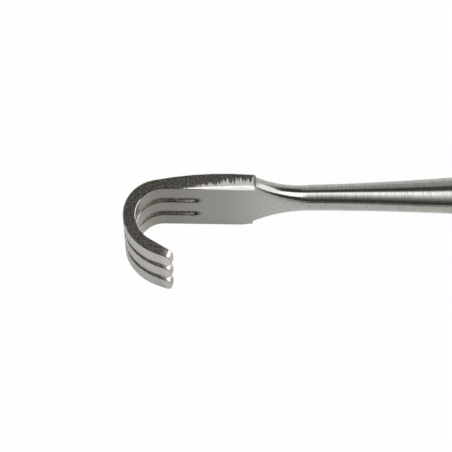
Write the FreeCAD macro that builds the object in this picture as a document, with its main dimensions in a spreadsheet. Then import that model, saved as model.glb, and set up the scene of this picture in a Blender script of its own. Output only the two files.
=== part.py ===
"""A three-prong blunt rake retractor: one steel forging with a slotted hook, a slim neck and an open grip.

The instrument lies on its side. X runs along the shank from the bend to the grip, and Z is the blade's
width. The origin is on the blade's lower side face, under the shank's axis, where the flat blade meets
its bend. The hook opens towards -Y. All lengths are in millimetres and all angles in degrees.
"""
import FreeCAD, Part

import math
import os

import Sketcher
from FreeCAD import Vector

NODE = "retractor"

# Every driving size: its alias, its value and what it is
SIZES = [
    ("overall_length", 215.0, "from the outside of the bend to the end of the grip"),
    ("blade_width", 15.0, "across the three tines"),
    ("flat_length", 13.4, "flat blade, from the bend to the shoulder"),
    ("back_height", 0.9, "blade's back above the axis at the shoulder"),
    ("back_radius", 53.5, "gentle crown along the blade's back"),
    ("face_depth", 1.54, "blade's inner face below the axis at the shoulder"),
    ("bend_radius", 4.15, "inner radius of the bend"),
    ("bend_set_back", 0.31, "centre of the inner bend behind the origin"),
    ("bend_face_depth", 1.09, "inner face below the axis where the bend starts"),
    ("bend_back_height", 0.39, "top of the outer bend above the axis"),
    ("bend_extra", 1.29, "outer bend radius over the inner one"),
    ("bend_thickness", 1.83, "steel at the outermost point of the bend"),
    ("heel_extra", 2.35, "heel radius over the outer bend radius"),
    ("heel_drop", 1.53, "outer corner of the tip below the outer bend"),
    ("tine_angle", 21.7, "outer side of a tine against the axis"),
    ("tip_forward", 0.64, "outer corner of the tip ahead of the origin"),
    ("tip_thickness", 1.12, "steel at the tip"),
    ("tip_round", 1.15, "rounded corners of each tip"),
    ("slot_width", 1.4, "sawn slot between two tines"),
    ("slot_start", 5.0, "closed end of the slots ahead of the origin"),
    ("edge_break", 0.1, "chamfer on the edges of the blade and its tines"),
    ("facet_start", 0.3, "facet ground along the upper front edge starts behind the origin"),
    ("facet_width", 0.85, "the facet on the side face at the shoulder, where it is widest"),
    ("facet_angle", 12.0, "slope of the facet against the side face"),
    ("facet_past", 0.5, "what is ground away reaches this far out of the blade"),
    ("shoulder_drop", 0.5, "each side of the neck in from the blade's side face at the shoulder"),
    ("shoulder_round", 2.0, "rounded lower corner of the shoulder"),
    ("shoulder_bevel", 0.35, "bevelled upper corner of the shoulder"),
    ("shoulder_bow", 0.8, "rounding of the neck's two edges at the shoulder"),
    ("neck_length", 8.6, "from the shoulder to the slimmest, oval neck"),
    ("neck_height", 5.1, "oval neck along the blade's width"),
    ("neck_depth", 3.72, "oval neck from its front to its back"),
    ("swell_length", 25.4, "from the slimmest neck to the round shank"),
    ("swell_radius", 3.0, "shank where it has become round"),
    ("taper_angle", 3.9, "slope of the tapered shank"),
    ("ease_radius", 60.0, "full curve from the taper into the thickest shank"),
    ("shank_radius", 3.75, "round shank where it is thickest"),
    ("fade_length", 14.0, "cone by which the shank sinks into the grip"),
    ("fade_height", 2.0, "radius of the shank where it ends inside the grip"),
    ("grip_length", 88.0, "from the start of the flare to the end"),
    ("grip_flare", 26.0, "length over which the grip widens"),
    ("grip_root", 6.0, "width of the grip where it leaves the shank"),
    ("grip_thickness", 5.2, "thickness of the grip"),
    ("grip_rail", 3.8, "width of the rails beside the window"),
    ("window_length", 62.0, "window of the grip"),
    ("grip_round", 1.1, "rounded edges of the grip"),
]

HALF_WIDTH = "Size.blade_width / 2"
OUTER_RADIUS = "(Size.bend_radius + Size.bend_extra)"
OUTER_SET_BACK = "(Size.bend_set_back + Size.bend_thickness - Size.bend_extra)"
OUTER_DEPTH = f"({OUTER_RADIUS} - Size.bend_back_height)"
TIP_DEPTH = f"({OUTER_DEPTH} + {OUTER_RADIUS} + Size.heel_drop)"
GRIP_END = f"(Size.overall_length - {OUTER_SET_BACK} - {OUTER_RADIUS})"
GRIP_START = f"({GRIP_END} - Size.grip_length)"
NECK_HALF = "(Size.neck_height / 2)"
NECK_BACK = "(Size.neck_depth / 2)"
NECK_END = "(Size.flat_length + Size.neck_length)"
SWELL_END = f"({NECK_END} + Size.swell_length)"
SHOULDER_HALF = f"({HALF_WIDTH} - Size.shoulder_drop)"

# Where the neck's sections lie, as shares of its length, and the powers of the way left by which it narrows
# in height and thickens in depth
NECK_WAYS = (0, 0.25, 0.5, 0.75, 1)
NARROW_POWER = 3
THICKEN_POWER = 5
# The same for the swell behind it, which grows in height and in depth by two powers of the way gone
SWELL_WAYS = (0, 0.333, 0.667, 1)
HEIGHT_POWER = 4
DEPTH_POWER = 1.5
# The bow of a quarter turn over half its chord: with it, four arcs meet smoothly in an oval
OVAL_SHARE = math.tan(math.radians(22.5))

ORIGIN = (-1, 1)
AXIS = -1
UP = Vector(0, 0, 1)


def make_sheet(doc):
    """Gives every size a cell of its own with an alias."""
    sheet = doc.addObject("Spreadsheet::Sheet", "Size")
    for row, (alias, size, words) in enumerate(SIZES, start=1):
        sheet.set(f"A{row}", words)
        sheet.set(f"B{row}", str(size))
        sheet.setAlias(f"B{row}", alias)
    doc.recompute()
    return sheet


def number(expression):
    """The value of an expression on the sheet's sizes."""
    return float(FreeCAD.ActiveDocument.Size.evalExpression(expression))


def origin_plane(body, role):
    """The body's own origin plane with this role."""
    return next(item for item in body.Origin.OriginFeatures if item.Role == role)


def new_sketch(body, name, role, raised=False, along=None):
    """A sketch on an origin plane, raised to the shank's axis or moved along its normal when asked."""
    sketch = body.newObject("Sketcher::SketchObject", name)
    sketch.AttachmentSupport = [(origin_plane(body, role), "")]
    sketch.MapMode = "FlatFace"
    if raised:
        sketch.setExpression("AttachmentOffset.Base.y", HALF_WIDTH)
    if along:
        sketch.setExpression("AttachmentOffset.Base.z", along)
    return sketch


def link(sketch, kind, *parts):
    """Adds a constraint without a size."""
    sketch.addConstraint(Sketcher.Constraint(kind, *parts))


def bind(sketch, name, expression, kind, *parts):
    """Adds a named dimension and ties it to the sheet."""
    size = number(expression)
    if kind == "Angle":
        size = math.radians(size)
    index = sketch.addConstraint(Sketcher.Constraint(kind, *parts, size))
    sketch.renameConstraint(index, name)
    sketch.setExpression(f"Constraints.{name}", expression)


def line(start, end):
    return Part.LineSegment(start, end)


def arc(centre, radius, start, end):
    """An anticlockwise arc, its ends given as points."""
    first = math.atan2(start.y - centre.y, start.x - centre.x)
    last = math.atan2(end.y - centre.y, end.x - centre.x)
    return Part.ArcOfCircle(Part.Circle(centre, UP, radius), first, last)


def circles_meet(first, first_radius, second, second_radius, side):
    """The point at two distances from two centres, left (side 1) or right (side -1) of the line between."""
    between = second - first
    along = (between.Length ** 2 + first_radius ** 2 - second_radius ** 2) / (2 * between.Length)
    across = side * math.sqrt(first_radius ** 2 - along ** 2)
    unit = between / between.Length
    return first + unit * along + Vector(-unit.y, unit.x, 0) * across


def tangent_point(point, centre, radius, side):
    """Where a line from the point touches a circle, left (side 1) or right (side -1) of its centre."""
    reach = math.sqrt((centre - point).Length ** 2 - radius ** 2)
    return circles_meet(point, reach, centre, radius, side)


def draw_hook(body):
    """Side profile of the blade, its bend and a tine, drawn from the shoulder's back corner round."""
    back_radius = number("Size.back_radius")
    inner_radius = number("Size.bend_radius")
    outer_radius = number(OUTER_RADIUS)
    heel_radius = outer_radius + number("Size.heel_extra")
    slope = math.radians(number("Size.tine_angle"))
    forward = Vector(math.cos(slope), -math.sin(slope), 0)
    inward = Vector(math.sin(slope), math.cos(slope), 0)

    back_corner = Vector(number("Size.flat_length"), number("Size.back_height"), 0)
    face_corner = Vector(back_corner.x, -number("Size.face_depth"), 0)
    inner_centre = Vector(-number("Size.bend_set_back"), -number("Size.bend_face_depth") - inner_radius, 0)
    outer_centre = Vector(-number(OUTER_SET_BACK), -number(OUTER_DEPTH), 0)
    back_centre = circles_meet(back_corner, back_radius, outer_centre, back_radius - outer_radius, 1)
    bend_start = outer_centre + (outer_centre - back_centre).normalize() * outer_radius

    outer_tip = Vector(number("Size.tip_forward"), -number(TIP_DEPTH), 0)
    inner_tip = outer_tip + inward * number("Size.tip_thickness")
    # The heel's centre is its own radius inside the tine's outer side and touches the bend from inside
    aside = (outer_centre - outer_tip).dot(inward) - heel_radius
    behind = math.sqrt(number("Size.heel_extra") ** 2 - aside ** 2)
    heel_centre = outer_centre - inward * aside + forward * behind
    bend_end = outer_centre + (outer_centre - heel_centre).normalize() * outer_radius
    heel_end = heel_centre - inward * heel_radius
    tine_root = tangent_point(inner_tip, inner_centre, inner_radius, 1)
    face_end = tangent_point(face_corner, inner_centre, inner_radius, -1)

    sketch = new_sketch(body, "HookProfile", "XY_Plane")
    crown, bend, heel, outer, tip, inner, hollow, face, end = sketch.addGeometry([
        arc(back_centre, back_radius, back_corner, bend_start),
        arc(outer_centre, outer_radius, bend_start, bend_end),
        arc(heel_centre, heel_radius, bend_end, heel_end),
        line(outer_tip, heel_end),
        line(outer_tip, inner_tip),
        line(inner_tip, tine_root),
        arc(inner_centre, inner_radius, face_end, tine_root),
        line(face_end, face_corner),
        line(face_corner, back_corner),
    ], False)
    link(sketch, "Tangent", crown, 2, bend, 1)
    link(sketch, "Tangent", bend, 2, heel, 1)
    link(sketch, "Tangent", heel, 2, outer, 2)
    link(sketch, "Coincident", outer, 1, tip, 1)
    link(sketch, "Coincident", tip, 2, inner, 1)
    link(sketch, "Tangent", inner, 2, hollow, 2)
    link(sketch, "Tangent", hollow, 1, face, 1)
    link(sketch, "Coincident", face, 2, end, 1)
    link(sketch, "Coincident", end, 2, crown, 1)
    link(sketch, "Perpendicular", outer, tip)
    link(sketch, "Vertical", end)
    bind(sketch, "flat_length", "Size.flat_length", "DistanceX", *ORIGIN, crown, 1)
    bind(sketch, "back_height", "Size.back_height", "DistanceY", *ORIGIN, crown, 1)
    bind(sketch, "face_depth", "Size.face_depth", "DistanceY", face, 2, *ORIGIN)
    bind(sketch, "back_radius", "Size.back_radius", "Radius", crown)
    bind(sketch, "outer_radius", OUTER_RADIUS, "Radius", bend)
    bind(sketch, "outer_set_back", OUTER_SET_BACK, "DistanceX", bend, 3, *ORIGIN)
    bind(sketch, "outer_depth", OUTER_DEPTH, "DistanceY", bend, 3, *ORIGIN)
    bind(sketch, "heel_radius", f"{OUTER_RADIUS} + Size.heel_extra", "Radius", heel)
    bind(sketch, "tine_angle", "180 - Size.tine_angle", "Angle", outer)
    bind(sketch, "tip_forward", "Size.tip_forward", "DistanceX", *ORIGIN, tip, 1)
    bind(sketch, "tip_depth", TIP_DEPTH, "DistanceY", tip, 1, *ORIGIN)
    bind(sketch, "tip_thickness", "Size.tip_thickness", "Distance", tip)
    bind(sketch, "bend_radius", "Size.bend_radius", "Radius", hollow)
    bind(sketch, "bend_set_back", "Size.bend_set_back", "DistanceX", hollow, 3, *ORIGIN)
    bind(sketch, "bend_depth", "Size.bend_radius + Size.bend_face_depth", "DistanceY", hollow, 3, *ORIGIN)
    return sketch, (outer_tip, inner_tip)


def draw_slots(body):
    """The two sawn slots in plan, each with one round end and running out past the bend."""
    sketch = new_sketch(body, "SlotPlan", "XZ_Plane", raised=True)
    radius = number("Size.slot_width / 2")
    start = number("Size.slot_start - Size.slot_width / 2")
    past = f"2 * {OUTER_RADIUS}"
    for name, side in (("upper", 1), ("lower", -1)):
        middle = side * number("(Size.blade_width + Size.slot_width) / 6")
        centre = Vector(start, middle, 0)
        left = -number(past)
        top, cap, bottom, back = sketch.addGeometry([
            line(Vector(left, middle + radius, 0), Vector(start, middle + radius, 0)),
            arc(centre, radius, centre - Vector(0, radius, 0), centre + Vector(0, radius, 0)),
            line(Vector(start, middle - radius, 0), Vector(left, middle - radius, 0)),
            line(Vector(left, middle - radius, 0), Vector(left, middle + radius, 0)),
        ], False)
        link(sketch, "Tangent", top, 2, cap, 2)
        link(sketch, "Tangent", cap, 1, bottom, 1)
        link(sketch, "Coincident", bottom, 2, back, 1)
        link(sketch, "Coincident", back, 2, top, 1)
        link(sketch, "Horizontal", top)
        link(sketch, "Horizontal", bottom)
        link(sketch, "Vertical", back)
        bind(sketch, f"{name}_width", "Size.slot_width / 2", "Radius", cap)
        bind(sketch, f"{name}_start", "Size.slot_start - Size.slot_width / 2", "DistanceX", *ORIGIN, cap, 3)
        bind(sketch, f"{name}_past", past, "DistanceX", back, 1, *ORIGIN)
        ends = (*ORIGIN, cap, 3) if side > 0 else (cap, 3, *ORIGIN)
        bind(sketch, f"{name}_place", "(Size.blade_width + Size.slot_width) / 6", "DistanceY", *ends)
    return sketch


def draw_facet(body, name, place, depth, width):
    """Section of what the facet takes off, this wide on the side face above an inner face of this depth."""
    slope = math.radians(number("Size.facet_angle"))
    top, past = number("Size.blade_width"), number("Size.facet_past")
    inner = Vector(number(f"{width} - {depth}"), top, 0)
    outside = -number(f"{depth} + Size.facet_past")
    low = Vector(outside, top - (inner.x - outside) * math.tan(slope), 0)
    high = Vector(outside, top + past, 0)
    sketch = new_sketch(body, name, "YZ_Plane", along=place)
    ground, side, over = sketch.addGeometry([line(low, inner), line(high, low), line(inner, high)], False)
    link(sketch, "Coincident", ground, 1, side, 2)
    link(sketch, "Coincident", side, 1, over, 2)
    link(sketch, "Coincident", over, 1, ground, 2)
    link(sketch, "Vertical", side)
    bind(sketch, "facet_angle", "Size.facet_angle", "Angle", ground)
    bind(sketch, "width", f"{depth} - {width}", "DistanceX", ground, 2, *ORIGIN)
    bind(sketch, "top", "Size.blade_width", "DistanceY", *ORIGIN, ground, 2)
    bind(sketch, "outside", f"{depth} + Size.facet_past", "DistanceX", side, 1, *ORIGIN)
    bind(sketch, "above", "Size.blade_width + Size.facet_past", "DistanceY", *ORIGIN, side, 1)
    return sketch


def draw_shoulder(body):
    """Plan of what is cut off the blade's two corners at the shoulder: one rounded, one bevelled."""
    end, half, shoulder_half = number("Size.flat_length"), number(HALF_WIDTH), number(SHOULDER_HALF)
    radius, bevel = number("Size.shoulder_round"), number("Size.shoulder_bevel")
    centre = Vector(end - math.sqrt(radius ** 2 - (shoulder_half - half + radius) ** 2), radius - half, 0)
    round_start, round_end = centre - Vector(0, radius, 0), Vector(end, -shoulder_half, 0)
    bevel_start, bevel_end = Vector(end - bevel, half, 0), Vector(end, shoulder_half, 0)
    sketch = new_sketch(body, "ShoulderPlan", "XZ_Plane", raised=True)
    rounded, up, along = sketch.addGeometry([
        arc(centre, radius, round_start, round_end),
        line(round_end, Vector(end, -half, 0)),
        line(Vector(end, -half, 0), round_start),
    ], False)
    link(sketch, "Coincident", rounded, 2, up, 1)
    link(sketch, "Coincident", up, 2, along, 1)
    link(sketch, "Tangent", along, 2, rounded, 1)
    link(sketch, "Vertical", up)
    link(sketch, "Horizontal", along)
    bind(sketch, "round_place", "Size.flat_length", "DistanceX", *ORIGIN, up, 2)
    bind(sketch, "round_side", HALF_WIDTH, "DistanceY", up, 2, *ORIGIN)
    bind(sketch, "round_drop", "Size.shoulder_drop", "Distance", up)
    bind(sketch, "round_radius", "Size.shoulder_round", "Radius", rounded)
    bevelled, down, back = sketch.addGeometry([
        line(bevel_start, bevel_end),
        line(bevel_end, Vector(end, half, 0)),
        line(Vector(end, half, 0), bevel_start),
    ], False)
    link(sketch, "Coincident", bevelled, 2, down, 1)
    link(sketch, "Coincident", down, 2, back, 1)
    link(sketch, "Coincident", back, 2, bevelled, 1)
    link(sketch, "Vertical", down)
    link(sketch, "Horizontal", back)
    bind(sketch, "bevel_place", "Size.flat_length", "DistanceX", *ORIGIN, down, 2)
    bind(sketch, "bevel_side", HALF_WIDTH, "DistanceY", *ORIGIN, down, 2)
    bind(sketch, "bevel_drop", "Size.shoulder_drop", "Distance", down)
    bind(sketch, "bevel_length", "Size.shoulder_bevel", "Distance", back)
    return sketch


def bowed(start, end, bow):
    """A side that bows out of a section by this much: an arc, or a line where there is no bow."""
    if bow == 0:
        return line(start, end)
    half = (end - start) / 2
    radius = (half.Length ** 2 + bow ** 2) / (2 * bow)
    inward = Vector(-half.y, half.x, 0).normalize()
    return arc(start + half + inward * (radius - bow), radius, start, end)


def oval_bow(size, other):
    """How far a side of a four-arc oval bows out, from the oval's half sizes along the side and across it."""
    return f"(({size} - {OVAL_SHARE} * {other}) / 2)"


def bow_radius(half_chord, bow):
    """The radius of an arc, from half its chord and its bow."""
    return f"({half_chord} ^ 2 + {bow} ^ 2) / (2 * {bow})"


def draw_section(body, name, place, extents, bows):
    """One section of the neck: four sides that bow out, as lines where there is no bow."""
    half_out, back_out, front_out = extents
    wide_bow, narrow_bow = bows
    half = f"({half_out} - {narrow_bow})"
    back = f"({back_out} - {wide_bow})"
    front = f"({front_out} - {wide_bow})"
    high, right, left = number(half), number(back), -number(front)
    corners = [Vector(right, -high, 0), Vector(right, high, 0), Vector(left, high, 0), Vector(left, -high, 0)]
    depths = [number(wide_bow), number(narrow_bow)] * 2
    sides = [bowed(*ends, depth) for *ends, depth in zip(corners, corners[1:] + corners[:1], depths)]
    sketch = new_sketch(body, name, "YZ_Plane", raised=True, along=place)
    parts = sketch.addGeometry(sides, False)
    for this, following in zip(parts, parts[1:] + parts[:1]):
        link(sketch, "Coincident", this, 2, following, 1)
    back_side, upper, front_side, lower = parts
    link(sketch, "Symmetric", back_side, 1, back_side, 2, AXIS)
    link(sketch, "Symmetric", front_side, 1, front_side, 2, AXIS)
    link(sketch, "Horizontal", upper, 1, upper, 2)
    bind(sketch, "half", half, "DistanceY", *ORIGIN, back_side, 2)
    bind(sketch, "back", back, "DistanceX", *ORIGIN, back_side, 2)
    bind(sketch, "front", front, "DistanceX", front_side, 1, *ORIGIN)
    link(sketch, "Equal", upper, lower)
    bind(sketch, "narrow_radius", bow_radius(f"(({back} + {front}) / 2)", narrow_bow), "Radius", upper)
    if number(wide_bow) > 0:
        link(sketch, "Equal", back_side, front_side)
        bind(sketch, "wide_radius", bow_radius(half, wide_bow), "Radius", back_side)
    return sketch


def neck_section(body, way):
    """The neck's section at a share of its length, on its way from the flat blade to the oval."""
    to_narrow = (1 - way) ** NARROW_POWER
    to_thicken = (1 - way) ** THICKEN_POWER

    def between(start, end, left_to_go):
        return f"({end} + ({start} - {end}) * {left_to_go})"

    half = between(SHOULDER_HALF, NECK_HALF, to_narrow)
    back = between("Size.back_height", NECK_BACK, to_thicken)
    front = between("Size.face_depth", NECK_BACK, to_thicken)
    wide_bow = between(0, oval_bow(NECK_HALF, NECK_BACK), to_narrow)
    narrow_bow = between("Size.shoulder_bow", oval_bow(NECK_BACK, NECK_HALF), to_narrow)
    place = f"Size.flat_length + Size.neck_length * {way}"
    extents, bows = (half, back, front), (wide_bow, narrow_bow)
    return draw_section(body, f"NeckSection{NECK_WAYS.index(way)}", place, extents, bows)


def swell_section(body, way):
    """The section at a share of the swell, on its way from the oval to the round shank."""
    half = f"({NECK_HALF} + (Size.swell_radius - {NECK_HALF}) * {way ** HEIGHT_POWER})"
    back = f"({NECK_BACK} + (Size.swell_radius - {NECK_BACK}) * {way ** DEPTH_POWER})"
    bows = (oval_bow(half, back), oval_bow(back, half))
    place = f"{NECK_END} + Size.swell_length * {way}"
    return draw_section(body, f"SwellSection{SWELL_WAYS.index(way)}", place, (half, back, back), bows)


def draw_shank(body):
    """Half profile of the round shank: taper, ease, straight and a cone that sinks into the grip."""
    swell_end, swell_radius = number(SWELL_END), number("Size.swell_radius")
    ease_radius, shank_radius = number("Size.ease_radius"), number("Size.shank_radius")
    slope = math.radians(number("Size.taper_angle"))
    grip_start = number(GRIP_START)
    fade_length, fade_height = number("Size.fade_length"), number("Size.fade_height")

    taper_start = Vector(swell_end, swell_radius, 0)
    rise = shank_radius - ease_radius * (1 - math.cos(slope)) - swell_radius
    taper_end = taper_start + Vector(rise / math.tan(slope), rise, 0)
    ease_centre = taper_end + Vector(math.sin(slope), -math.cos(slope), 0) * ease_radius
    ease_end = ease_centre + Vector(0, ease_radius, 0)
    fade_start = Vector(grip_start, shank_radius, 0)
    fade_end = Vector(grip_start + fade_length, fade_height, 0)

    sketch = new_sketch(body, "ShankProfile", "XY_Plane", along=HALF_WIDTH)
    front, taper, ease, straight, fade, end, axis = sketch.addGeometry([
        line(Vector(swell_end, 0, 0), taper_start),
        line(taper_start, taper_end),
        arc(ease_centre, ease_radius, ease_end, taper_end),
        line(ease_end, fade_start),
        line(fade_start, fade_end),
        line(fade_end, Vector(fade_end.x, 0, 0)),
        line(Vector(fade_end.x, 0, 0), Vector(swell_end, 0, 0)),
    ], False)
    link(sketch, "Vertical", front)
    link(sketch, "Coincident", front, 2, taper, 1)
    link(sketch, "Tangent", taper, 2, ease, 2)
    link(sketch, "Tangent", ease, 1, straight, 1)
    link(sketch, "Horizontal", straight)
    link(sketch, "Coincident", straight, 2, fade, 1)
    link(sketch, "Coincident", fade, 2, end, 1)
    link(sketch, "Vertical", end)
    link(sketch, "Coincident", end, 2, axis, 1)
    link(sketch, "Coincident", axis, 2, front, 1)
    link(sketch, "PointOnObject", front, 1, AXIS)
    link(sketch, "Horizontal", axis)
    bind(sketch, "swell_end", SWELL_END, "DistanceX", *ORIGIN, front, 1)
    bind(sketch, "swell_radius", "Size.swell_radius", "DistanceY", *ORIGIN, front, 2)
    bind(sketch, "taper_angle", "Size.taper_angle", "Angle", taper)
    bind(sketch, "ease_radius", "Size.ease_radius", "Radius", ease)
    bind(sketch, "shank_radius", "Size.shank_radius", "DistanceY", *ORIGIN, straight, 2)
    bind(sketch, "grip_start", GRIP_START, "DistanceX", *ORIGIN, straight, 2)
    bind(sketch, "fade_length", "Size.fade_length", "DistanceX", fade, 1, fade, 2)
    bind(sketch, "fade_height", "Size.fade_height", "DistanceY", *ORIGIN, fade, 2)
    return sketch


def draw_grip(body):
    """Plan of the grip: it leaves the shank, flares in two arcs a side and ends in a half circle."""
    start, root, half = number(GRIP_START), number("Size.grip_root / 2"), number(HALF_WIDTH)
    flare, end = number("Size.grip_flare"), number(f"{GRIP_END} - {HALF_WIDTH}")
    rise = half - root
    radius = (flare ** 2 + rise ** 2) / (4 * rise)
    sketch = new_sketch(body, "GripPlan", "XZ_Plane", raised=True)
    outline = [line(Vector(start, -root, 0), Vector(start, root, 0))]
    for side in (1, -1):
        leave = Vector(start, side * root, 0)
        arrive = Vector(start + flare, side * half, 0)
        middle = (leave + arrive) / 2
        hollow_centre = leave + Vector(0, side * radius, 0)
        full_centre = arrive - Vector(0, side * radius, 0)
        ends = [(hollow_centre, leave, middle), (full_centre, arrive, middle)]
        for centre, first, second in ends:
            if side < 0:
                first, second = second, first
            outline.append(arc(centre, radius, first, second))
        outline.append(line(arrive, Vector(end, side * half, 0)))
    outline.append(arc(Vector(end, 0, 0), half, Vector(end, -half, 0), Vector(end, half, 0)))
    root_line, hollow, full, top, low_hollow, low_full, bottom, cap = sketch.addGeometry(outline, False)
    link(sketch, "Symmetric", root_line, 1, root_line, 2, AXIS)
    link(sketch, "Coincident", root_line, 2, hollow, 1)
    link(sketch, "Vertical", hollow, 1, hollow, 3)
    link(sketch, "Tangent", hollow, 2, full, 2)
    link(sketch, "Tangent", full, 1, top, 1)
    link(sketch, "Horizontal", top)
    link(sketch, "Tangent", top, 2, cap, 2)
    link(sketch, "Tangent", cap, 1, bottom, 2)
    link(sketch, "Horizontal", bottom)
    link(sketch, "Tangent", bottom, 1, low_full, 2)
    link(sketch, "Tangent", low_full, 1, low_hollow, 1)
    link(sketch, "Coincident", low_hollow, 2, root_line, 1)
    link(sketch, "Vertical", low_hollow, 2, low_hollow, 3)
    link(sketch, "Equal", hollow, full)
    link(sketch, "Equal", hollow, low_hollow)
    link(sketch, "Equal", hollow, low_full)
    link(sketch, "PointOnObject", cap, 3, AXIS)
    bind(sketch, "grip_root", "Size.grip_root", "DistanceY", root_line, 1, root_line, 2)
    bind(sketch, "grip_start", GRIP_START, "DistanceX", *ORIGIN, root_line, 2)
    bind(sketch, "grip_flare", "Size.grip_flare", "DistanceX", hollow, 1, full, 1)
    bind(sketch, "half_width", HALF_WIDTH, "Radius", cap)
    bind(sketch, "grip_end", f"{GRIP_END} - {HALF_WIDTH}", "DistanceX", *ORIGIN, cap, 3)
    return sketch


def draw_window(body):
    """Plan of the grip's window: a long hole with round ends, one rail's width inside the grip."""
    half = f"({HALF_WIDTH} - Size.grip_rail)"
    last = f"{GRIP_END} - {HALF_WIDTH}"
    first = f"{GRIP_END} - Size.grip_rail - Size.window_length + {half}"
    radius, start, end = number(half), number(first), number(last)
    sketch = new_sketch(body, "WindowPlan", "XZ_Plane", raised=True)
    top, far, bottom, near = sketch.addGeometry([
        line(Vector(start, radius, 0), Vector(end, radius, 0)),
        arc(Vector(end, 0, 0), radius, Vector(end, -radius, 0), Vector(end, radius, 0)),
        line(Vector(end, -radius, 0), Vector(start, -radius, 0)),
        arc(Vector(start, 0, 0), radius, Vector(start, radius, 0), Vector(start, -radius, 0)),
    ], False)
    link(sketch, "Tangent", top, 2, far, 2)
    link(sketch, "Tangent", far, 1, bottom, 1)
    link(sketch, "Tangent", bottom, 2, near, 2)
    link(sketch, "Tangent", near, 1, top, 1)
    link(sketch, "Horizontal", top)
    link(sketch, "PointOnObject", far, 3, AXIS)
    link(sketch, "PointOnObject", near, 3, AXIS)
    bind(sketch, "half_width", half, "Radius", far)
    bind(sketch, "first", first, "DistanceX", *ORIGIN, near, 3)
    bind(sketch, "last", last, "DistanceX", *ORIGIN, far, 3)
    return sketch


def pad(body, name, profile, length, both_ways=False):
    feature = body.newObject("PartDesign::Pad", name)
    feature.Profile = profile
    feature.Midplane = both_ways
    feature.setExpression("Length", length)
    body.Document.recompute()
    return feature


def cut_through(body, name, profile):
    """Cuts a plan right through the solid, both ways from its plane."""
    before = body.Shape.Volume
    feature = body.newObject("PartDesign::Pocket", name)
    feature.Profile = profile
    feature.Type = "ThroughAll"
    feature.Midplane = True
    body.Document.recompute()
    if feature.Shape.Volume >= before:
        raise RuntimeError(f"{name} cuts nothing")
    return feature


def loft(body, kind, name, sections):
    feature = body.newObject(f"PartDesign::{kind}", name)
    feature.Profile = sections[0]
    feature.Sections = sections[1:]
    body.Document.recompute()
    return feature


def dress_edges(body, kind, name, wanted):
    """Adds a fillet or a chamfer on the edges of the body's tip that the test picks."""
    base = body.Tip
    names = [f"Edge{place}" for place, edge in enumerate(base.Shape.Edges, start=1) if wanted(edge)]
    if not names:
        raise RuntimeError(f"{name} finds no edge")
    feature = body.newObject(f"PartDesign::{kind}", name)
    feature.Base = (base, names)
    return feature


def round_edges(body, name, wanted, radius):
    dress_edges(body, "Fillet", name, wanted).setExpression("Radius", radius)
    body.Document.recompute()


def break_edges(body, name, wanted, size):
    dress_edges(body, "Chamfer", name, wanted).setExpression("Size", size)
    body.Document.recompute()


def near(point, x, y):
    """True where a point lies on the line through x and y along the blade's width."""
    return math.hypot(point.X - x, point.Y - y) < 1e-4


def build_hook(body):
    """The blade, its slots and the rounded tips."""
    profile, (outer_tip, inner_tip) = draw_hook(body)
    pad(body, "Hook", profile, "Size.blade_width")
    cut_through(body, "Slots", draw_slots(body))

    def at_tip(edge):
        ends = edge.Vertexes
        return len(ends) == 2 and any(near(end, outer_tip.x, outer_tip.y) for end in ends) \
            and any(near(end, inner_tip.x, inner_tip.y) for end in ends)

    round_edges(body, "TipCorners", at_tip, "Size.tip_round")
    width, shoulder = number("Size.blade_width"), number("Size.flat_length")

    def along_side(edge):
        box = edge.BoundBox
        on_side = box.ZLength < 1e-4 and (abs(box.ZMin) < 1e-4 or abs(box.ZMin - width) < 1e-4)
        return on_side and box.XMin < shoulder - 1e-3

    break_edges(body, "BladeEdges", along_side, "Size.edge_break")
    facet_start = draw_facet(body, "FacetStart", "-Size.facet_start", "Size.bend_face_depth", "0")
    facet_end = draw_facet(body, "FacetEnd", "Size.flat_length", "Size.face_depth", "Size.facet_width")
    loft(body, "SubtractiveLoft", "Facet", [facet_start, facet_end])
    cut_through(body, "Shoulder", draw_shoulder(body))


def build_grip(body):
    """The open grip at the far end."""
    pad(body, "Grip", draw_grip(body), "Size.grip_thickness", both_ways=True)
    cut_through(body, "Window", draw_window(body))
    face = number("Size.grip_thickness / 2")
    start = number(GRIP_START)

    def on_face(edge):
        box = edge.BoundBox
        flat = box.YLength < 1e-4 and abs(abs(box.YMin) - face) < 1e-4
        return flat and box.XMax > start + 1e-3

    round_edges(body, "GripEdges", on_face, "Size.grip_round")


def build_shank(body):
    """The neck that grows out of the blade and swells, and the round shank behind it."""
    loft(body, "AdditiveLoft", "Neck", [neck_section(body, way) for way in NECK_WAYS])
    loft(body, "AdditiveLoft", "Swell", [swell_section(body, way) for way in SWELL_WAYS])
    profile = draw_shank(body)
    shank = body.newObject("PartDesign::Revolution", "Shank")
    shank.Profile = profile
    shank.ReferenceAxis = (profile, ["H_Axis"])
    shank.Angle = 360
    body.Document.recompute()


def check(doc, body):
    """Stops if any object failed or the part isn't one valid solid."""
    for item in doc.Objects:
        if "Invalid" in item.State or "Error" in item.State:
            raise RuntimeError(f"{item.Name} failed: {item.State}")
    if body.Shape.isNull() or not body.Shape.isValid() or len(body.Shape.Solids) != 1:
        raise RuntimeError(f"{body.Label} is not one valid solid")


def main():
    os.makedirs("parts", exist_ok=True)
    doc = FreeCAD.newDocument("Retractor")
    make_sheet(doc)
    body = doc.addObject("PartDesign::Body", "Body")
    body.Label = NODE
    body.AllowCompound = True
    build_hook(body)
    build_grip(body)
    build_shank(body)
    doc.recompute()
    check(doc, body)
    body.Shape.exportStep(f"parts/{NODE}.step")


main()
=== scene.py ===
"""Dresses the rake retractor in ground steel and sets it on a white table in a softly lit room."""

import math
from types import SimpleNamespace

import bmesh
import bpy
from mathutils import Matrix, Vector


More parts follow.
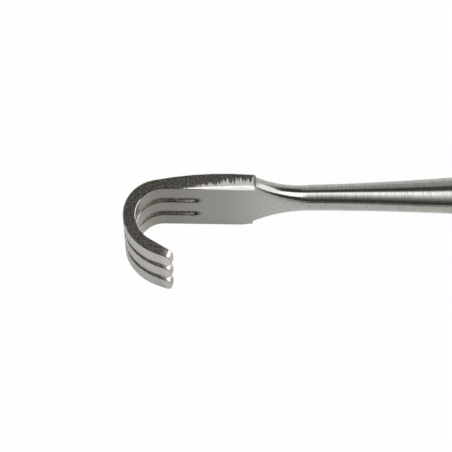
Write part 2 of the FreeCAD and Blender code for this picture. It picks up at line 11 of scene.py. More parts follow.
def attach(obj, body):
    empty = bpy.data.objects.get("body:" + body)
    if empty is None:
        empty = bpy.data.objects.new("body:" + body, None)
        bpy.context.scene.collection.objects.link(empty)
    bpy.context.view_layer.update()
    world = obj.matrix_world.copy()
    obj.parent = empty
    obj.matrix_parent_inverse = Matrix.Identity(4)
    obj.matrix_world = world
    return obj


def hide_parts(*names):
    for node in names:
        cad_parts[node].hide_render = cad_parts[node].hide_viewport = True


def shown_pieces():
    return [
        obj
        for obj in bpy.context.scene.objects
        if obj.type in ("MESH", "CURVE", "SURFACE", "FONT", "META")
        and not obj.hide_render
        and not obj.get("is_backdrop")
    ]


bl_info = {
    "name": "Rake Retractor",
    "version": (1, 1, 0),
    "blender": (4, 5, 0),
    "location": "3D View > Sidebar > Retractor",
    "description": "Shapes the retractor's neck, finishes its steel and sets the table, room and camera",
    "category": "Object",
}

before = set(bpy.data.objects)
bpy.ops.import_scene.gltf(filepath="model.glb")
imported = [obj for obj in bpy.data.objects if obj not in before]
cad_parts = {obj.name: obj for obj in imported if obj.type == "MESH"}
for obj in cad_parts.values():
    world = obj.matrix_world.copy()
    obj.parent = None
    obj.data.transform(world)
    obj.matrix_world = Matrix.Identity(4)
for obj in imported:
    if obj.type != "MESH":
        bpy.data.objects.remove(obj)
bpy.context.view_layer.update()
NODE = "retractor"
PIECE = "instrument"

# The shank's axis above the table, at half the blade's width
AXIS_HEIGHT = 0.0075

# Points of each section of the tube, and how many sections the neck and the swell have
RING_POINTS = 48
NECK_RINGS = 26
SWELL_RINGS = 20
# The powers by which the neck narrows and thickens, and the swell grows in height and in depth
NARROW_POWER = 2.0
THICKEN_POWER = 1.6
HEIGHT_POWER = 4.0
DEPTH_POWER = 1.5
# The tube reaches this far into the shank behind it
OVERLAP = 1e-5
# Points of the solid's mesh that are closer than this are one
MERGE_DISTANCE = 1e-6
CUT_THRESHOLD = 1e-7
# A point of a circle that is closer than this to the axis belongs to neither half
HALF_MARGIN = 1e-5
SMOOTH_ANGLE = math.radians(30.0)

# Each noise in the steel: bumps to the metre along X, Y and Z, detail and roughness
RINGS = ((4500.0, 700.0, 700.0), 3.0, 0.55)
GRAIN = ((5200.0, 5200.0, 5200.0), 3.0, 0.6)
SPECKS = ((3400.0, 3400.0, 3400.0), 4.0, 0.75)
CLOUDS = ((300.0, 300.0, 300.0), 3.0, 0.5)
STREAKS = ((900.0, 900.0, 2600.0), 3.0, 0.6)
STROKES = ((4200.0, 300.0, 300.0), 2.0, 0.6)

# Where a finish or a painted highlight begins and where it is full, in metres along X or across in Y, or by
# how squarely a face looks that way
SHANK_ALONG = (0.0128, 0.0150)
BEND_ALONG = (-0.0012, -0.0032)
SIDE_FACING = (0.985, 0.999)
INSIDE_FACING = (0.2, 0.6)
# Where the tine tips are painted lighter as a highlight, along X and across in Y
TIP_HIGHLIGHT_ALONG = (-0.0010, 0.0004)
TIP_HIGHLIGHT_ACROSS = (-0.0080, -0.0086)
# The walls of the slots look sideways too, and lie this far inside the side faces
SLOT_WALL = (0.0073, 0.0070)
LIT_SLOT_ACROSS = (-0.0065, -0.0045)
# The bevelled corner of the shoulder, which is painted darker as shade: its start and end along X, its
# front, and how it faces
CORNER_START = (0.01298, 0.01308)
CORNER_END = (0.01350, 0.01338)
CORNER_ACROSS = (-0.0010, -0.0006)
CORNER_FACING = (0.2, 0.5)
# The border of a slot, with burrs and painted shade, by the distance from its middle line, less this much
# times the specks
BURR_AND_SHADE_EDGE = (0.00105, 0.00075)
BURR_AND_SHADE_RAGGED = 0.0005
# The facet's edge on the side face: its ends along X, and its place across at each
FACET_ALONG = (0.0, 0.0134)
FACET_ACROSS = (-0.00150, -0.00078)
# The strokes above it: where they begin, how they grow, their height, the gaps and the soft edge
STROKE_ALONG = (0.0005, 0.0040)
STROKE_GROWTH = (0.0020, 0.0110, 0.2, 1.0)
STROKE_HEIGHT = 0.0032
STROKE_GAP = 0.24
STROKE_EDGE = (0.00030, -0.00025)
# How far the steel has dulled: by the clouds on the side faces, and all over towards the bend
DULL_CLOUDS = (0.35, 0.60)
DULL_ALONG = (0.0125, 0.0, 0.0, 0.35)

# The tone that each noise gives: a factor and what is added
GRAIN_TONE = (0.25, 0.875)
RING_TONE = (0.9, 0.55)
STREAK_TONE = (1.6, 0.3)
SPECK_TONE = (3.6, -1.15)
# The slots' borders are darker from burrs and from painted shade
BURR_AND_SHADE_TONE = (0.9, 0.05)
# The tone that covers the noises: a painted highlight on the strokes and the tine tips, painted shade on the
# shoulder's corner, and painted light on the slots' walls in the bend
# The grinding strokes above the facet are painted nearly white as a highlight
STROKE_HIGHLIGHT_TONE = 4.2
CORNER_SHADE_TONE = 0.4
TIP_HIGHLIGHT_TONE = 1.4
LIT_SLOT_TONE = 1.2
LIGHTEST_STEEL = (0.92, 0.90, 0.86)
# How far the clouds raise and lower the roughness
UNEVENNESS = 0.12

# The Mix node's sockets for colours
MIX_FACTOR, MIX_START, MIX_END, MIX_RESULT = 0, 6, 7, 2

# The table in the steel: along Y it falls to dim at the front, and along X it is dimmer before the blade
TABLE_FRONT = (-0.070, -0.025, 0.10, 1.0)
BLADE_LEFT = (-0.004, 0.001)
BLADE_RIGHT = (0.018, 0.008)
BLADE_DIMMING = 0.25
TABLE_RIGHT = (0.040, 0.060)
TABLE_SIZE = 6.0
FILL_PLACE = (0.0, -0.2, 1.5)
FILL_SIZE = 2.0

# The room's brightness by the angle from straight up, towards the front where it is positive
ROOM_LIGHT = (
    (-90, 0.76), (-70, 0.69), (-57, 0.62), (-47, 0.46), (-41, 0.20), (-34, 0.10), (-20, 0.11), (-11, 0.26),
    (-4, 1.60), (2, 2.50), (9, 2.60), (15, 2.40), (22, 1.90), (32, 1.25), (45, 0.62), (58, 0.28), (70, 0.11),
    (83, 0.08), (90, 0.10),
)
ROOM_BRIGHTEST = 2.6
# The window on the right by the angle in radians: its middle, its edge with the brightness outside and in,
# and the wall at the back
WINDOW_MIDDLE = 0.375
WINDOW_EDGE = (0.55, 0.42, 0.10, 3.3)
BACK_WALL = (-1.00, -1.35, 0.0, 0.65)
WINDOW_RIGHTWARD = (0.20, 0.45)
# The far wall on the right, which is bright down to near the horizon
FAR_WALL = (1.05, 0.85, 0.3, 2.4)
FAR_RIGHTWARD = (0.84, 0.94)

SENSOR_WIDTH = 36.0
CLIP_START = 0.01
CLIP_END = 20.0


class NeckShape(bpy.types.PropertyGroup):
    """Sizes of the shoulder's lower corner, of the neck and of the swell behind it."""
    blade_end: bpy.props.FloatProperty(
        name="Blade End", description="Where the solid's blade is cut off, ahead of the bend",
        unit="LENGTH", default=0.01341, precision=5)
    corner_start: bpy.props.FloatProperty(
        name="Corner Start", description="Where the slant at the shoulder's lower corner begins",
        unit="LENGTH", default=0.0113, precision=5)
    corner_slant: bpy.props.FloatProperty(
        name="Corner Slant", description="Slope of that slant against the table", subtype="ANGLE",
        unit="ROTATION", default=math.radians(18.236))
    neck_start: bpy.props.FloatProperty(
        name="Neck Start", description="Root of the neck, ahead of the bend", unit="LENGTH",
        default=0.0132, precision=5)
    neck_length: bpy.props.FloatProperty(
        name="Neck Length", description="From the root to the slimmest neck", unit="LENGTH",
        default=0.0088, precision=5)
    swell_length: bpy.props.FloatProperty(
        name="Swell Length", description="From the slimmest neck to the round shank", unit="LENGTH",
        default=0.0254, precision=5)
    shoulder_half: bpy.props.FloatProperty(
        name="Shoulder Half", description="Half height of the neck at its root", unit="LENGTH",
        default=0.0071, precision=5)
    shoulder_back: bpy.props.FloatProperty(
        name="Shoulder Back", description="Neck's back behind the axis at its root", unit="LENGTH",
        default=0.00110, precision=5)
    shoulder_front: bpy.props.FloatProperty(
        name="Shoulder Front", description="Neck's front before the axis at its root", unit="LENGTH",
        default=0.0014, precision=5)
    shoulder_cap: bpy.props.FloatProperty(
        name="Shoulder Cap", description="Height of the rounded edge at the root", unit="LENGTH",
        default=0.0009, precision=5)
    neck_half: bpy.props.FloatProperty(
        name="Neck Half", description="Half height of the slimmest neck", unit="LENGTH",
        default=0.00255, precision=5)
    neck_depth: bpy.props.FloatProperty(
        name="Neck Depth", description="Half depth of the slimmest neck", unit="LENGTH",
        default=0.00186, precision=5)
    shank_radius: bpy.props.FloatProperty(
        name="Shank Radius", description="Where the shank has become round", unit="LENGTH",
        default=0.0030, precision=5)


class SteelFinish(bpy.types.PropertyGroup):
    """Colour and grinding marks of the steel."""
    steel_colour: bpy.props.FloatVectorProperty(
        name="Steel", description="Colour of the bare steel", subtype="COLOR", size=3,
        default=(0.43, 0.425, 0.395), min=0.0, max=1.0)
    dull_colour: bpy.props.FloatVectorProperty(
        name="Dull Steel", description="Colour where the steel has dulled", subtype="COLOR", size=3,
        default=(0.40, 0.365, 0.30), min=0.0, max=1.0)
    roughness: bpy.props.FloatProperty(
        name="Roughness", description="Roughness of the satin finish", default=0.12, min=0.0, max=1.0)
    side_roughness: bpy.props.FloatProperty(
        name="Side Roughness", description="Roughness of the blade's coarser side faces", default=0.26,
        min=0.0, max=1.0)
    slot_roughness: bpy.props.FloatProperty(
        name="Slot Roughness", description="Roughness of the sawn walls of the slots", default=0.6,
        min=0.0, max=1.0)
    stroke_roughness: bpy.props.FloatProperty(
        name="Stroke Roughness", description="Roughness of the strokes above the facet", default=0.42,
        min=0.0, max=1.0)
    slot_place: bpy.props.FloatProperty(
        name="Slot Place", description="Middle line of each slot from the middle of the blade",
        unit="LENGTH", default=0.002733, min=0.0, precision=5)
    slot_end: bpy.props.FloatProperty(
        name="Slot End", description="Centre of each slot's round end, ahead of the bend",
        unit="LENGTH", default=0.0043, min=0.0, precision=5)
    ring_depth: bpy.props.FloatProperty(
        name="Ring Depth", description="Depth of the grinding rings round the shank", unit="LENGTH",
        default=0.000006, min=0.0, precision=6)
    grain_depth: bpy.props.FloatProperty(
        name="Grain Depth", description="Depth of the fine grain all over", unit="LENGTH",
        default=0.000002, min=0.0, precision=6)
    side_grain_depth: bpy.props.FloatProperty(
        name="Side Grain Depth", description="Depth of the coarse grain on the blade's side faces",
        unit="LENGTH", default=0.000026, min=0.0, precision=6)


class StageSettings(bpy.types.PropertyGroup):
    """Where the camera stands, and how bright the table and the lamp are."""
    aim: bpy.props.FloatVectorProperty(
        name="Aim", description="The point at the middle of the picture", subtype="TRANSLATION",
        unit="LENGTH", size=3, default=(0.00903, -0.00437, 0.0075))
    stand_off: bpy.props.FloatProperty(
        name="Stand-off", description="From the camera to the aim", unit="LENGTH", default=0.2601,
        min=0.01)
    lens: bpy.props.FloatProperty(
        name="Lens", description="Focal length of the camera", subtype="DISTANCE_CAMERA",
        default=137.5, min=1.0)
    heading: bpy.props.FloatProperty(
        name="Heading", description="Turn of the camera about the upright, from looking along +Y",
        subtype="ANGLE", unit="ROTATION", default=math.radians(-5.04))
    elevation: bpy.props.FloatProperty(
        name="Elevation", description="Height of the camera above the horizon", subtype="ANGLE",
        unit="ROTATION", default=math.radians(69.93))
    roll: bpy.props.FloatProperty(
        name="Roll", description="Tilt of the camera about its own line of sight", subtype="ANGLE",
        unit="ROTATION", default=math.radians(3.87))
    table_colour: bpy.props.FloatVectorProperty(
        name="Table", description="Colour of the white table", subtype="COLOR", size=3,
        default=(0.86, 0.86, 0.86), min=0.0, max=1.0)
    table_white: bpy.props.FloatProperty(
        name="Table White", description="Share of plain white in what the camera sees of the table",
        subtype="FACTOR", default=0.97, min=0.0, max=1.0)
    fill_power: bpy.props.FloatProperty(
        name="Fill", description="Power of the wide lamp that lights the table", unit="POWER",
        default=2.5, min=0.0)


def add_node(tree, kind, inputs=(), **settings):
    """Adds a node with its settings; an input is fed from a socket or set to a value."""
    made = tree.nodes.new(kind)
    for name, value in settings.items():
        setattr(made, name, value)
    for name, value in dict(inputs).items():
        if isinstance(value, bpy.types.NodeSocket):
            tree.links.new(value, made.inputs[name])
        else:
            made.inputs[name].default_value = value
    return made


def maths(tree, operation, *terms):
    """The outcome of one sum of a Math node."""
    return add_node(tree, "ShaderNodeMath", enumerate(terms), operation=operation).outputs["Value"]


def product(tree, *terms):
    """The terms multiplied together."""
    total = terms[0]
    for term in terms[1:]:
        total = maths(tree, "MULTIPLY", total, term)
    return total


def spread(tree, value, factor, added):
    """A value times a factor, with something added."""
    return maths(tree, "ADD", product(tree, value, factor), added)


def distance(tree, value, level):
    """How far a value is from a level, on either side."""
    return maths(tree, "ABSOLUTE", maths(tree, "SUBTRACT", value, level))


def left_over(tree, share):
    """What a share leaves of one."""
    return maths(tree, "SUBTRACT", 1.0, share)


def ease(tree, value, low, high, to_low=0.0, to_high=1.0):
    """A smooth step of a value from one level to another."""
    limits = {"Value": value, "From Min": low, "From Max": high, "To Min": to_low, "To Max": to_high}
    return add_node(tree, "ShaderNodeMapRange", limits, interpolation_type="SMOOTHSTEP").outputs["Result"]


def blend(tree, factor, start, end):
    """A value on its way from one to another."""
    inputs = {"Factor": factor, "A": start, "B": end}
    return add_node(tree, "ShaderNodeMix", inputs, data_type="FLOAT").outputs["Result"]


def parts_of(tree, vector):
    """The X, Y and Z of a vector."""
    return add_node(tree, "ShaderNodeSeparateXYZ", {"Vector": vector}).outputs


def noise(tree, place, scale, detail, roughness):
    """A noise between 0 and 1, by bumps to the metre along X, Y and Z."""
    stretched = add_node(tree, "ShaderNodeMapping", {"Vector": place, "Scale": scale})
    inputs = {"Vector": stretched.outputs["Vector"], "Scale": 1.0, "Detail": detail, "Roughness": roughness}
    return add_node(tree, "ShaderNodeTexNoise", inputs).outputs["Fac"]


def new_tree(name):
    """An empty node material; returns it with its tree."""
    material = bpy.data.materials.new(name)
    material.use_nodes = True
    material.node_tree.nodes.clear()
    return material, material.node_tree


def steel_spot(tree):
    """What the finish of a point depends on: where it lies, how its surface faces, and the noises there."""
    coordinates = add_node(tree, "ShaderNodeTexCoord").outputs
    place = coordinates["Object"]
    where = parts_of(tree, place)
    normal = parts_of(tree, coordinates["Normal"])
    return SimpleNamespace(
        along=where["X"],
        across=where["Y"],
        from_middle=distance(tree, where["Z"], AXIS_HEIGHT),
        forward=normal["X"],
        sideways=maths(tree, "ABSOLUTE", normal["Z"]),
        rings=noise(tree, place, *RINGS),
        grain=noise(tree, place, *GRAIN),
        specks=noise(tree, place, *SPECKS),
        clouds=noise(tree, place, *CLOUDS),
        streaks=noise(tree, place, *STREAKS),
        strokes=noise(tree, place, *STROKES),
    )


def slot_burr_and_shade(tree, spot, in_bend, look):
    """The border of a slot, with burrs and painted shade, ragged at its edge, as far as the bend."""
    aside = distance(tree, spot.from_middle, look.slot_place)
    ahead = maths(tree, "MAXIMUM", maths(tree, "SUBTRACT", spot.along, look.slot_end), 0.0)
    squares = maths(tree, "ADD", product(tree, aside, aside), product(tree, ahead, ahead))
    ragged = spread(tree, spot.specks, -BURR_AND_SHADE_RAGGED, maths(tree, "SQRT", squares))
    return product(tree, ease(tree, ragged, *BURR_AND_SHADE_EDGE), left_over(tree, in_bend))


def highlit_facet_strokes(tree, spot, side):
    """Grinding strokes that run up from the facet on to the side face, higher towards the shoulder, with a
    painted highlight on them.
    """
    limits = {"Value": spot.along, "From Min": FACET_ALONG[0], "From Max": FACET_ALONG[1],
              "To Min": FACET_ACROSS[0], "To Max": FACET_ACROSS[1]}
    border = add_node(tree, "ShaderNodeMapRange", limits).outputs["Result"]
    above = maths(tree, "SUBTRACT", spot.across, border)
    length = product(tree, maths(tree, "SUBTRACT", spot.strokes, STROKE_GAP), STROKE_HEIGHT)
    top = product(tree, ease(tree, spot.along, *STROKE_GROWTH), length)
    below_top = ease(tree, maths(tree, "SUBTRACT", above, top), *STROKE_EDGE)
    return product(tree, side, below_top, ease(tree, spot.along, *STROKE_ALONG))


def shaded_shoulder_corner(tree, spot):
    """The bevelled upper corner of the shoulder, which is painted darker as shade."""
    return product(tree, ease(tree, spot.along, *CORNER_START), ease(tree, spot.along, *CORNER_END),
                   ease(tree, spot.across, *CORNER_ACROSS), ease(tree, spot.sideways, *CORNER_FACING))


def steel_masks(tree, spot, look):
    """How far each finish, painted highlight and painted shade holds at a point, from 0 to 1."""
    shank = ease(tree, spot.along, *SHANK_ALONG)
    in_bend = ease(tree, spot.along, *BEND_ALONG)
    side = product(tree, ease(tree, spot.sideways, *SIDE_FACING), left_over(tree, shank))
    slot = product(tree, side, ease(tree, spot.from_middle, *SLOT_WALL))
    clouded = product(tree, side, ease(tree, spot.clouds, *DULL_CLOUDS))
    return SimpleNamespace(
        shank=shank,
        side=side,
        slot=slot,
        lit_slot=product(tree, slot, in_bend, ease(tree, spot.across, *LIT_SLOT_ACROSS)),
        burred_and_shaded=slot_burr_and_shade(tree, spot, in_bend, look),
        inside=product(tree, in_bend, ease(tree, spot.forward, *INSIDE_FACING)),
        highlit_strokes=highlit_facet_strokes(tree, spot, side),
        corner=shaded_shoulder_corner(tree, spot),
        highlit_tips=product(tree, ease(tree, spot.along, *TIP_HIGHLIGHT_ALONG), ease(tree, spot.across, *TIP_HIGHLIGHT_ACROSS)),
        dulled=maths(tree, "MAXIMUM", clouded, ease(tree, spot.along, *DULL_ALONG)),
    )


def steel_height(tree, spot, masks, look):
    """Height of the marks in the steel, in metres."""
    rings = product(tree, spot.rings, masks.shank, look.ring_depth)
    grain = product(tree, spot.grain, look.grain_depth)
    specks = product(tree, spot.specks, masks.side, look.side_grain_depth)
    return maths(tree, "ADD", rings, maths(tree, "ADD", grain, specks))


def steel_tone(tree, spot, masks):
    """How much lighter or darker than plain steel a point is."""
    grain_tone = spread(tree, spot.grain, *GRAIN_TONE)
    tone = blend(tree, masks.shank, grain_tone, spread(tree, spot.rings, *RING_TONE))
    tone = blend(tree, masks.inside, tone, spread(tree, spot.streaks, *STREAK_TONE))
    # Burrs and painted shade darken the border of each slot
    tone = blend(tree, masks.burred_and_shaded, tone, spread(tree, spot.specks, *BURR_AND_SHADE_TONE))
    tone = blend(tree, masks.side, tone, spread(tree, spot.specks, *SPECK_TONE))
    # Painted highlight on the grinding strokes above the facet
    tone = blend(tree, masks.highlit_strokes, tone, STROKE_HIGHLIGHT_TONE)
    # Painted shade on the shoulder's bevelled corner
    tone = blend(tree, masks.corner, tone, CORNER_SHADE_TONE)
    # Painted highlight on the tine tips
    tone = blend(tree, masks.highlit_tips, tone, TIP_HIGHLIGHT_TONE)
    return blend(tree, masks.lit_slot, tone, LIT_SLOT_TONE)


def steel_tint(tree, masks, tone, look):
    """The steel's colour, from bare to dull and by its tone, and nowhere lighter than steel can be."""
    steel, dull = (*look.steel_colour, 1.0), (*look.dull_colour, 1.0)
    colours = {MIX_FACTOR: masks.dulled, MIX_START: steel, MIX_END: dull}
    bare = add_node(tree, "ShaderNodeMix", colours, data_type="RGBA").outputs[MIX_RESULT]
    toned = add_node(tree, "ShaderNodeVectorMath", {0: bare, "Scale": tone}, operation="SCALE")
    limited = {0: toned.outputs["Vector"], 1: LIGHTEST_STEEL}
    return add_node(tree, "ShaderNodeVectorMath", limited, operation="MINIMUM").outputs["Vector"]


def steel_roughness(tree, spot, masks, look):
    """Satin on the shank and the faces, coarser on the side faces, the slots' walls and the strokes."""
    rough = blend(tree, masks.side, look.roughness, look.side_roughness)
    rough = blend(tree, masks.slot, rough, look.slot_roughness)
    rough = blend(tree, masks.highlit_strokes, rough, look.stroke_roughness)
    uneven = product(tree, maths(tree, "SUBTRACT", spot.clouds, 0.5), UNEVENNESS)
    return maths(tree, "ADD", rough, uneven)


def steel_material(look):
    """Ground steel: rings round the shank, a fine grain on the blade and a coarse one on its side faces."""
    material, tree = new_tree("ground_steel")
    spot = steel_spot(tree)
    masks = steel_masks(tree, spot, look)
    height = steel_height(tree, spot, masks, look)
    bump = add_node(tree, "ShaderNodeBump", {"Height": height, "Distance": 1.0, "Strength": 1.0})
    shader = add_node(tree, "ShaderNodeBsdfPrincipled", {
        "Base Color": steel_tint(tree, masks, steel_tone(tree, spot, masks), look),
        "Metallic": 1.0,
        "Roughness": steel_roughness(tree, spot, masks, look),
        "Normal": bump.outputs["Normal"],
    })
    add_node(tree, "ShaderNodeOutputMaterial", {"Surface": shader.outputs["BSDF"]})
    return material


def merged_copy(node, name):
    """A copy of the solid's mesh with its loose triangles merged, selected and active."""
    piece = node.copy()
    piece.data = node.data.copy()
    piece.name = name
    bpy.context.scene.collection.objects.link(piece)
    piece.hide_render = False
    bpy.ops.object.select_all(action="DESELECT")
    piece.select_set(True)
    bpy.context.view_layer.objects.active = piece
    bpy.ops.mesh.customdata_custom_splitnormals_clear()
    bpy.ops.object.mode_set(mode="EDIT")
    bpy.ops.mesh.select_all(action="SELECT")
    bpy.ops.mesh.remove_doubles(threshold=MERGE_DISTANCE)
    bpy.ops.object.mode_set(mode="OBJECT")
    return piece


def cut_off(place, normal, behind=False):
    """Cuts the active mesh at a plane, clears what lies before or behind it and closes the mesh there."""
    bpy.ops.object.mode_set(mode="EDIT")
    bpy.ops.mesh.select_all(action="SELECT")
    bpy.ops.mesh.bisect(plane_co=(place, 0.0, 0.0), plane_no=normal, use_fill=True, clear_inner=behind,
                        clear_outer=not behind, threshold=CUT_THRESHOLD)
    bpy.ops.object.mode_set(mode="OBJECT")


def neck_sections(neck):
    """Centre, half depth, half height and cap of each section of the neck and of the swell."""
    for step in range(NECK_RINGS):
        way = step / NECK_RINGS
        thicker = way ** THICKEN_POWER
        half = neck.neck_half + (neck.shoulder_half - neck.neck_half) * (1.0 - way) ** NARROW_POWER
        back = neck.shoulder_back + (neck.neck_depth - neck.shoulder_back) * thicker
        front = neck.shoulder_front + (neck.neck_depth - neck.shoulder_front) * thicker
        cap = neck.shoulder_cap + (neck.neck_half - neck.shoulder_cap) * way
        centre = (neck.neck_start + neck.neck_length * way, (back - front) / 2, AXIS_HEIGHT)
        yield centre, (back + front) / 2, half, cap
    for step in range(SWELL_RINGS + 1):
        way = step / SWELL_RINGS
        half = neck.neck_half + (neck.shank_radius - neck.neck_half) * way ** HEIGHT_POWER
        depth = neck.neck_depth + (neck.shank_radius - neck.neck_depth) * way ** DEPTH_POWER
        centre = (neck.neck_start + neck.neck_length + neck.swell_length * way, 0.0, AXIS_HEIGHT)
        yield centre, depth, half, half


def add_circle(centre):
    """A circle across the shank: a new object in object mode, and a part of the tube in edit mode."""
    bpy.ops.mesh.primitive_circle_add(vertices=RING_POINTS, radius=1.0, location=centre,
                                      rotation=(0.0, math.pi / 2, 0.0))


def shape_circle(mesh, centre, depth, half, cap):
    """Draws the newest circle out to its depth and cap, and moves its two halves apart."""
    bpy.ops.transform.resize(value=(1.0, depth, cap), center_override=centre)
    for side in (1.0, -1.0):
        shape = bmesh.from_edit_mesh(mesh)
        shape.verts.ensure_lookup_table()
        for vertex in shape.verts[-RING_POINTS:]:
            vertex.select = (vertex.co.z - AXIS_HEIGHT) * side > HALF_MARGIN
        shape.select_flush_mode()
        bmesh.update_edit_mesh(mesh)
        bpy.ops.transform.translate(value=(0.0, 0.0, side * (half - cap)))


def add_tube(name, sections):
    """A closed tube through the sections."""
    first, *others = sections
    bpy.ops.object.select_all(action="DESELECT")
    add_circle(first[0])
    bpy.ops.object.transform_apply(location=True, rotation=True, scale=True)
    tube = bpy.context.object
    tube.name = name
    tube.data.name = name
    bpy.ops.object.mode_set(mode="EDIT")
    bpy.ops.mesh.select_mode(type="VERT")
    bpy.ops.mesh.select_all(action="SELECT")
    shape_circle(tube.data, *first)
    for section in others:
        add_circle(section[0])
        shape_circle(tube.data, *section)
    bpy.ops.mesh.select_all(action="SELECT")
    bpy.ops.mesh.bridge_edge_loops()
    bpy.ops.mesh.select_all(action="SELECT")
    bpy.ops.mesh.fill_holes(sides=0)
    bpy.ops.mesh.normals_make_consistent(inside=False)
    bpy.ops.object.mode_set(mode="OBJECT")
    return tube


def join_smooth(piece, others):
    """Joins the others into the piece and shades it smooth, apart from its sharp edges."""
    bpy.ops.object.select_all(action="DESELECT")
    for each in (piece, *others):
        each.select_set(True)
    bpy.context.view_layer.objects.active = piece
    bpy.ops.object.join()
    bpy.ops.object.shade_smooth_by_angle(angle=SMOOTH_ANGLE)
    weighted = piece.modifiers.new("weighted", "WEIGHTED_NORMAL")
    weighted.keep_sharp = True
    bpy.ops.object.modifier_apply(modifier=weighted.name)


class RETRACTOR_OT_shape_neck(bpy.types.Operator):
    """Makes the neck and the swell anew, rounder than the solid's, between its blade and its shank"""
    bl_idname = "retractor.shape_neck"
    bl_label = "Shape Neck"

    def execute(self, context):
        neck = context.scene.neck_shape
        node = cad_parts[NODE]
        forward = (1.0, 0.0, 0.0)
        slant = (math.sin(neck.corner_slant), 0.0, -math.cos(neck.corner_slant))
        blade = merged_copy(node, "blade")
        cut_off(neck.blade_end, forward)
        cut_off(neck.corner_start, slant)
        shank = merged_copy(node, "shank")
        cut_off(neck.neck_start + neck.neck_length + neck.swell_length - OVERLAP, forward, behind=True)
        piece = add_tube(PIECE, neck_sections(neck))
        join_smooth(piece, (blade, shank))
        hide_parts(NODE)
        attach(piece, "root")
        return {"FINISHED"}


class RETRACTOR_OT_finish_steel(bpy.types.Operator):
    """Gives the whole instrument its ground steel"""
    bl_idname = "retractor.finish_steel"
    bl_label = "Finish Steel"

    def execute(self, context):
        steel = steel_material(context.scene.steel_finish)
        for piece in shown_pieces():
            piece.data.materials.clear()
            piece.data.materials.append(steel)
        return {"FINISHED"}


def camera_axes(stage):
    """The camera's right, up and back directions."""
    level = Vector((math.sin(stage.heading), -math.cos(stage.heading), 0.0)) * math.cos(stage.elevation)
    back = level + Vector((0.0, 0.0, math.sin(stage.elevation)))
    right = Vector((0.0, 0.0, 1.0)).cross(back).normalized()
    right.rotate(Matrix.Rotation(stage.roll, 3, back))
    return right, back.cross(right), back


def place_camera(scene, stage):
    """Sets the camera at its stand-off from the aim."""
    right, up, back = camera_axes(stage)
    data = bpy.data.cameras.new("camera")
    data.sensor_width = SENSOR_WIDTH
    data.lens = stage.lens
    data.clip_start = CLIP_START
    data.clip_end = CLIP_END
    camera = bpy.data.objects.new("camera", data)
    scene.collection.objects.link(camera)
    camera.rotation_mode = "QUATERNION"
    camera.rotation_quaternion = Matrix((right, up, back)).transposed().to_quaternion()
    camera.location = Vector(stage.aim) + back * stage.stand_off
    scene.camera = camera


def add_fill(scene, stage):
    """A wide lamp over the table that faces it, but isn't mirrored in the steel."""
    data = bpy.data.lights.new("wide_fill", "AREA")
    data.size = FILL_SIZE
    data.energy = stage.fill_power
    lamp = bpy.data.objects.new("wide_fill", data)
    scene.collection.objects.link(lamp)
    lamp.location = FILL_PLACE
    lamp.rotation_mode = "QUATERNION"
    lamp.rotation_quaternion = Vector(FILL_PLACE).to_track_quat("Z", "Y")
    lamp.visible_camera = False
    lamp.visible_glossy = False


def table_shade(tree):
    """How much of the table's light the steel mirrors: little at the front, and less before the blade."""
    where = parts_of(tree, add_node(tree, "ShaderNodeTexCoord").outputs["Object"])
    before_blade = product(tree, ease(tree, where["X"], *BLADE_LEFT), ease(tree, where["X"], *BLADE_RIGHT))
    dimmed = left_over(tree, product(tree, before_blade, BLADE_DIMMING))
    shade = product(tree, ease(tree, where["Y"], *TABLE_FRONT), dimmed)
    return maths(tree, "MAXIMUM", shade, ease(tree, where["X"], *TABLE_RIGHT))


def table_material(stage):
    """Matt white table top that the steel mirrors darker towards the front, where the camera stands."""
    material, tree = new_tree("white_table")
    path = add_node(tree, "ShaderNodeLightPath").outputs
    shade = blend(tree, path["Is Glossy Ray"], 1.0, table_shade(tree))
    shaded = {0: tuple(stage.table_colour), "Scale": shade}
    colour = add_node(tree, "ShaderNodeVectorMath", shaded, operation="SCALE")
    matt = add_node(tree, "ShaderNodeBsdfDiffuse", {"Color": colour.outputs["Vector"]})
    white = add_node(tree, "ShaderNodeEmission", {"Strength": 1.0})
    share = product(tree, path["Is Camera Ray"], stage.table_white)
    layers = {0: share, 1: matt.outputs["BSDF"], 2: white.outputs["Emission"]}
    seen = add_node(tree, "ShaderNodeMixShader", layers)
    add_node(tree, "ShaderNodeOutputMaterial", {"Surface": seen.outputs["Shader"]})
    return material


def room_ramp(tree, angle):
    """The room's brightness by the angle, in radians, read from a ramp."""
    share = maths(tree, "ADD", maths(tree, "DIVIDE", angle, math.pi), 0.5)
    ramp = add_node(tree, "ShaderNodeValToRGB", {"Fac": share})
    stops = ramp.color_ramp.elements
    for degrees, _ in ROOM_LIGHT[1:-1]:
        stops.new(degrees / 180.0 + 0.5)
    for stop, (_, light) in zip(stops, ROOM_LIGHT):
        grey = light / ROOM_BRIGHTEST
        stop.color = (grey, grey, grey, 1.0)
    return product(tree, ramp.outputs["Color"], ROOM_BRIGHTEST)


def room_light(tree):
    """The room's brightness: from the ramp in the middle, and from a window and a far wall on the right."""
    direction = parts_of(tree, add_node(tree, "ShaderNodeTexCoord").outputs["Generated"])
    rightward = direction["X"]
    angle = maths(tree, "ARCTAN2", product(tree, direction["Y"], -1.0), direction["Z"])
    window = ease(tree, distance(tree, angle, WINDOW_MIDDLE), *WINDOW_EDGE)
    window = maths(tree, "MAXIMUM", window, ease(tree, angle, *BACK_WALL))
    near = blend(tree, ease(tree, rightward, *WINDOW_RIGHTWARD), room_ramp(tree, angle), window)
    return blend(tree, ease(tree, rightward, *FAR_RIGHTWARD), near, ease(tree, angle, *FAR_WALL))


def set_room(scene):
    """A room that lights the scene by its direction and that the camera sees plain white."""
    world = bpy.data.worlds.new("room")
    scene.world = world
    world.use_nodes = True
    tree = world.node_tree
    tree.nodes.clear()
    path = add_node(tree, "ShaderNodeLightPath").outputs
    seen = blend(tree, path["Is Camera Ray"], room_light(tree), 1.0)
    background = add_node(tree, "ShaderNodeBackground", {"Strength": seen})
    add_node(tree, "ShaderNodeOutputWorld", {"Surface": background.outputs["Background"]})


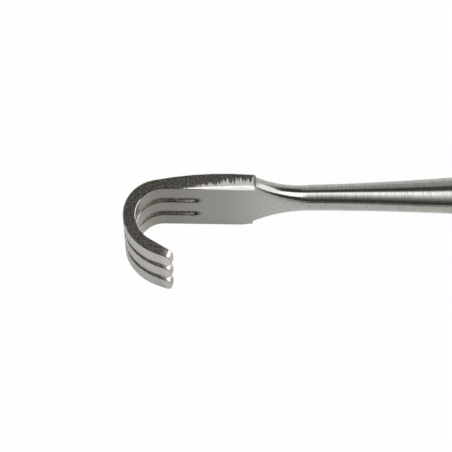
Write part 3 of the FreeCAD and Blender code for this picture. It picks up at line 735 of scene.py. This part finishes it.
class RETRACTOR_OT_set_stage(bpy.types.Operator):
    """Sets the white table, the lamp, the room and the camera"""
    bl_idname = "retractor.set_stage"
    bl_label = "Set Stage"

    def execute(self, context):
        scene = context.scene
        stage = scene.stage_settings
        scene.view_settings.view_transform = "Standard"
        bpy.ops.object.select_all(action="DESELECT")
        bpy.ops.mesh.primitive_plane_add(size=TABLE_SIZE, location=(0.0, 0.0, 0.0))
        table = context.object
        table.name = "table"
        table.data.materials.append(table_material(stage))
        table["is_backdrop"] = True
        add_fill(scene, stage)
        set_room(scene)
        place_camera(scene, stage)
        return {"FINISHED"}


class RETRACTOR_PT_panel(bpy.types.Panel):
    """The retractor's steps, in order"""
    bl_idname = "RETRACTOR_PT_panel"
    bl_label = "Retractor"
    bl_space_type = "VIEW_3D"
    bl_region_type = "UI"
    bl_category = "Retractor"

    def draw(self, context):
        scene = context.scene
        layout = self.layout
        for group, operator in ((scene.neck_shape, RETRACTOR_OT_shape_neck),
                                (scene.steel_finish, RETRACTOR_OT_finish_steel),
                                (scene.stage_settings, RETRACTOR_OT_set_stage)):
            for name in group.__annotations__:
                layout.prop(group, name)
            layout.operator(operator.bl_idname)


CLASSES = (NeckShape, SteelFinish, StageSettings, RETRACTOR_OT_shape_neck, RETRACTOR_OT_finish_steel,
           RETRACTOR_OT_set_stage, RETRACTOR_PT_panel)


def register():
    for each in CLASSES:
        bpy.utils.register_class(each)
    bpy.types.Scene.neck_shape = bpy.props.PointerProperty(type=NeckShape)
    bpy.types.Scene.steel_finish = bpy.props.PointerProperty(type=SteelFinish)
    bpy.types.Scene.stage_settings = bpy.props.PointerProperty(type=StageSettings)


def unregister():
    del bpy.types.Scene.stage_settings
    del bpy.types.Scene.steel_finish
    del bpy.types.Scene.neck_shape
    for each in reversed(CLASSES):
        bpy.utils.unregister_class(each)


def main():
    """Builds the whole scene."""
    register()
    bpy.ops.retractor.shape_neck()
    bpy.ops.retractor.finish_steel()
    bpy.ops.retractor.set_stage()


if __name__ == "__main__":
    main()
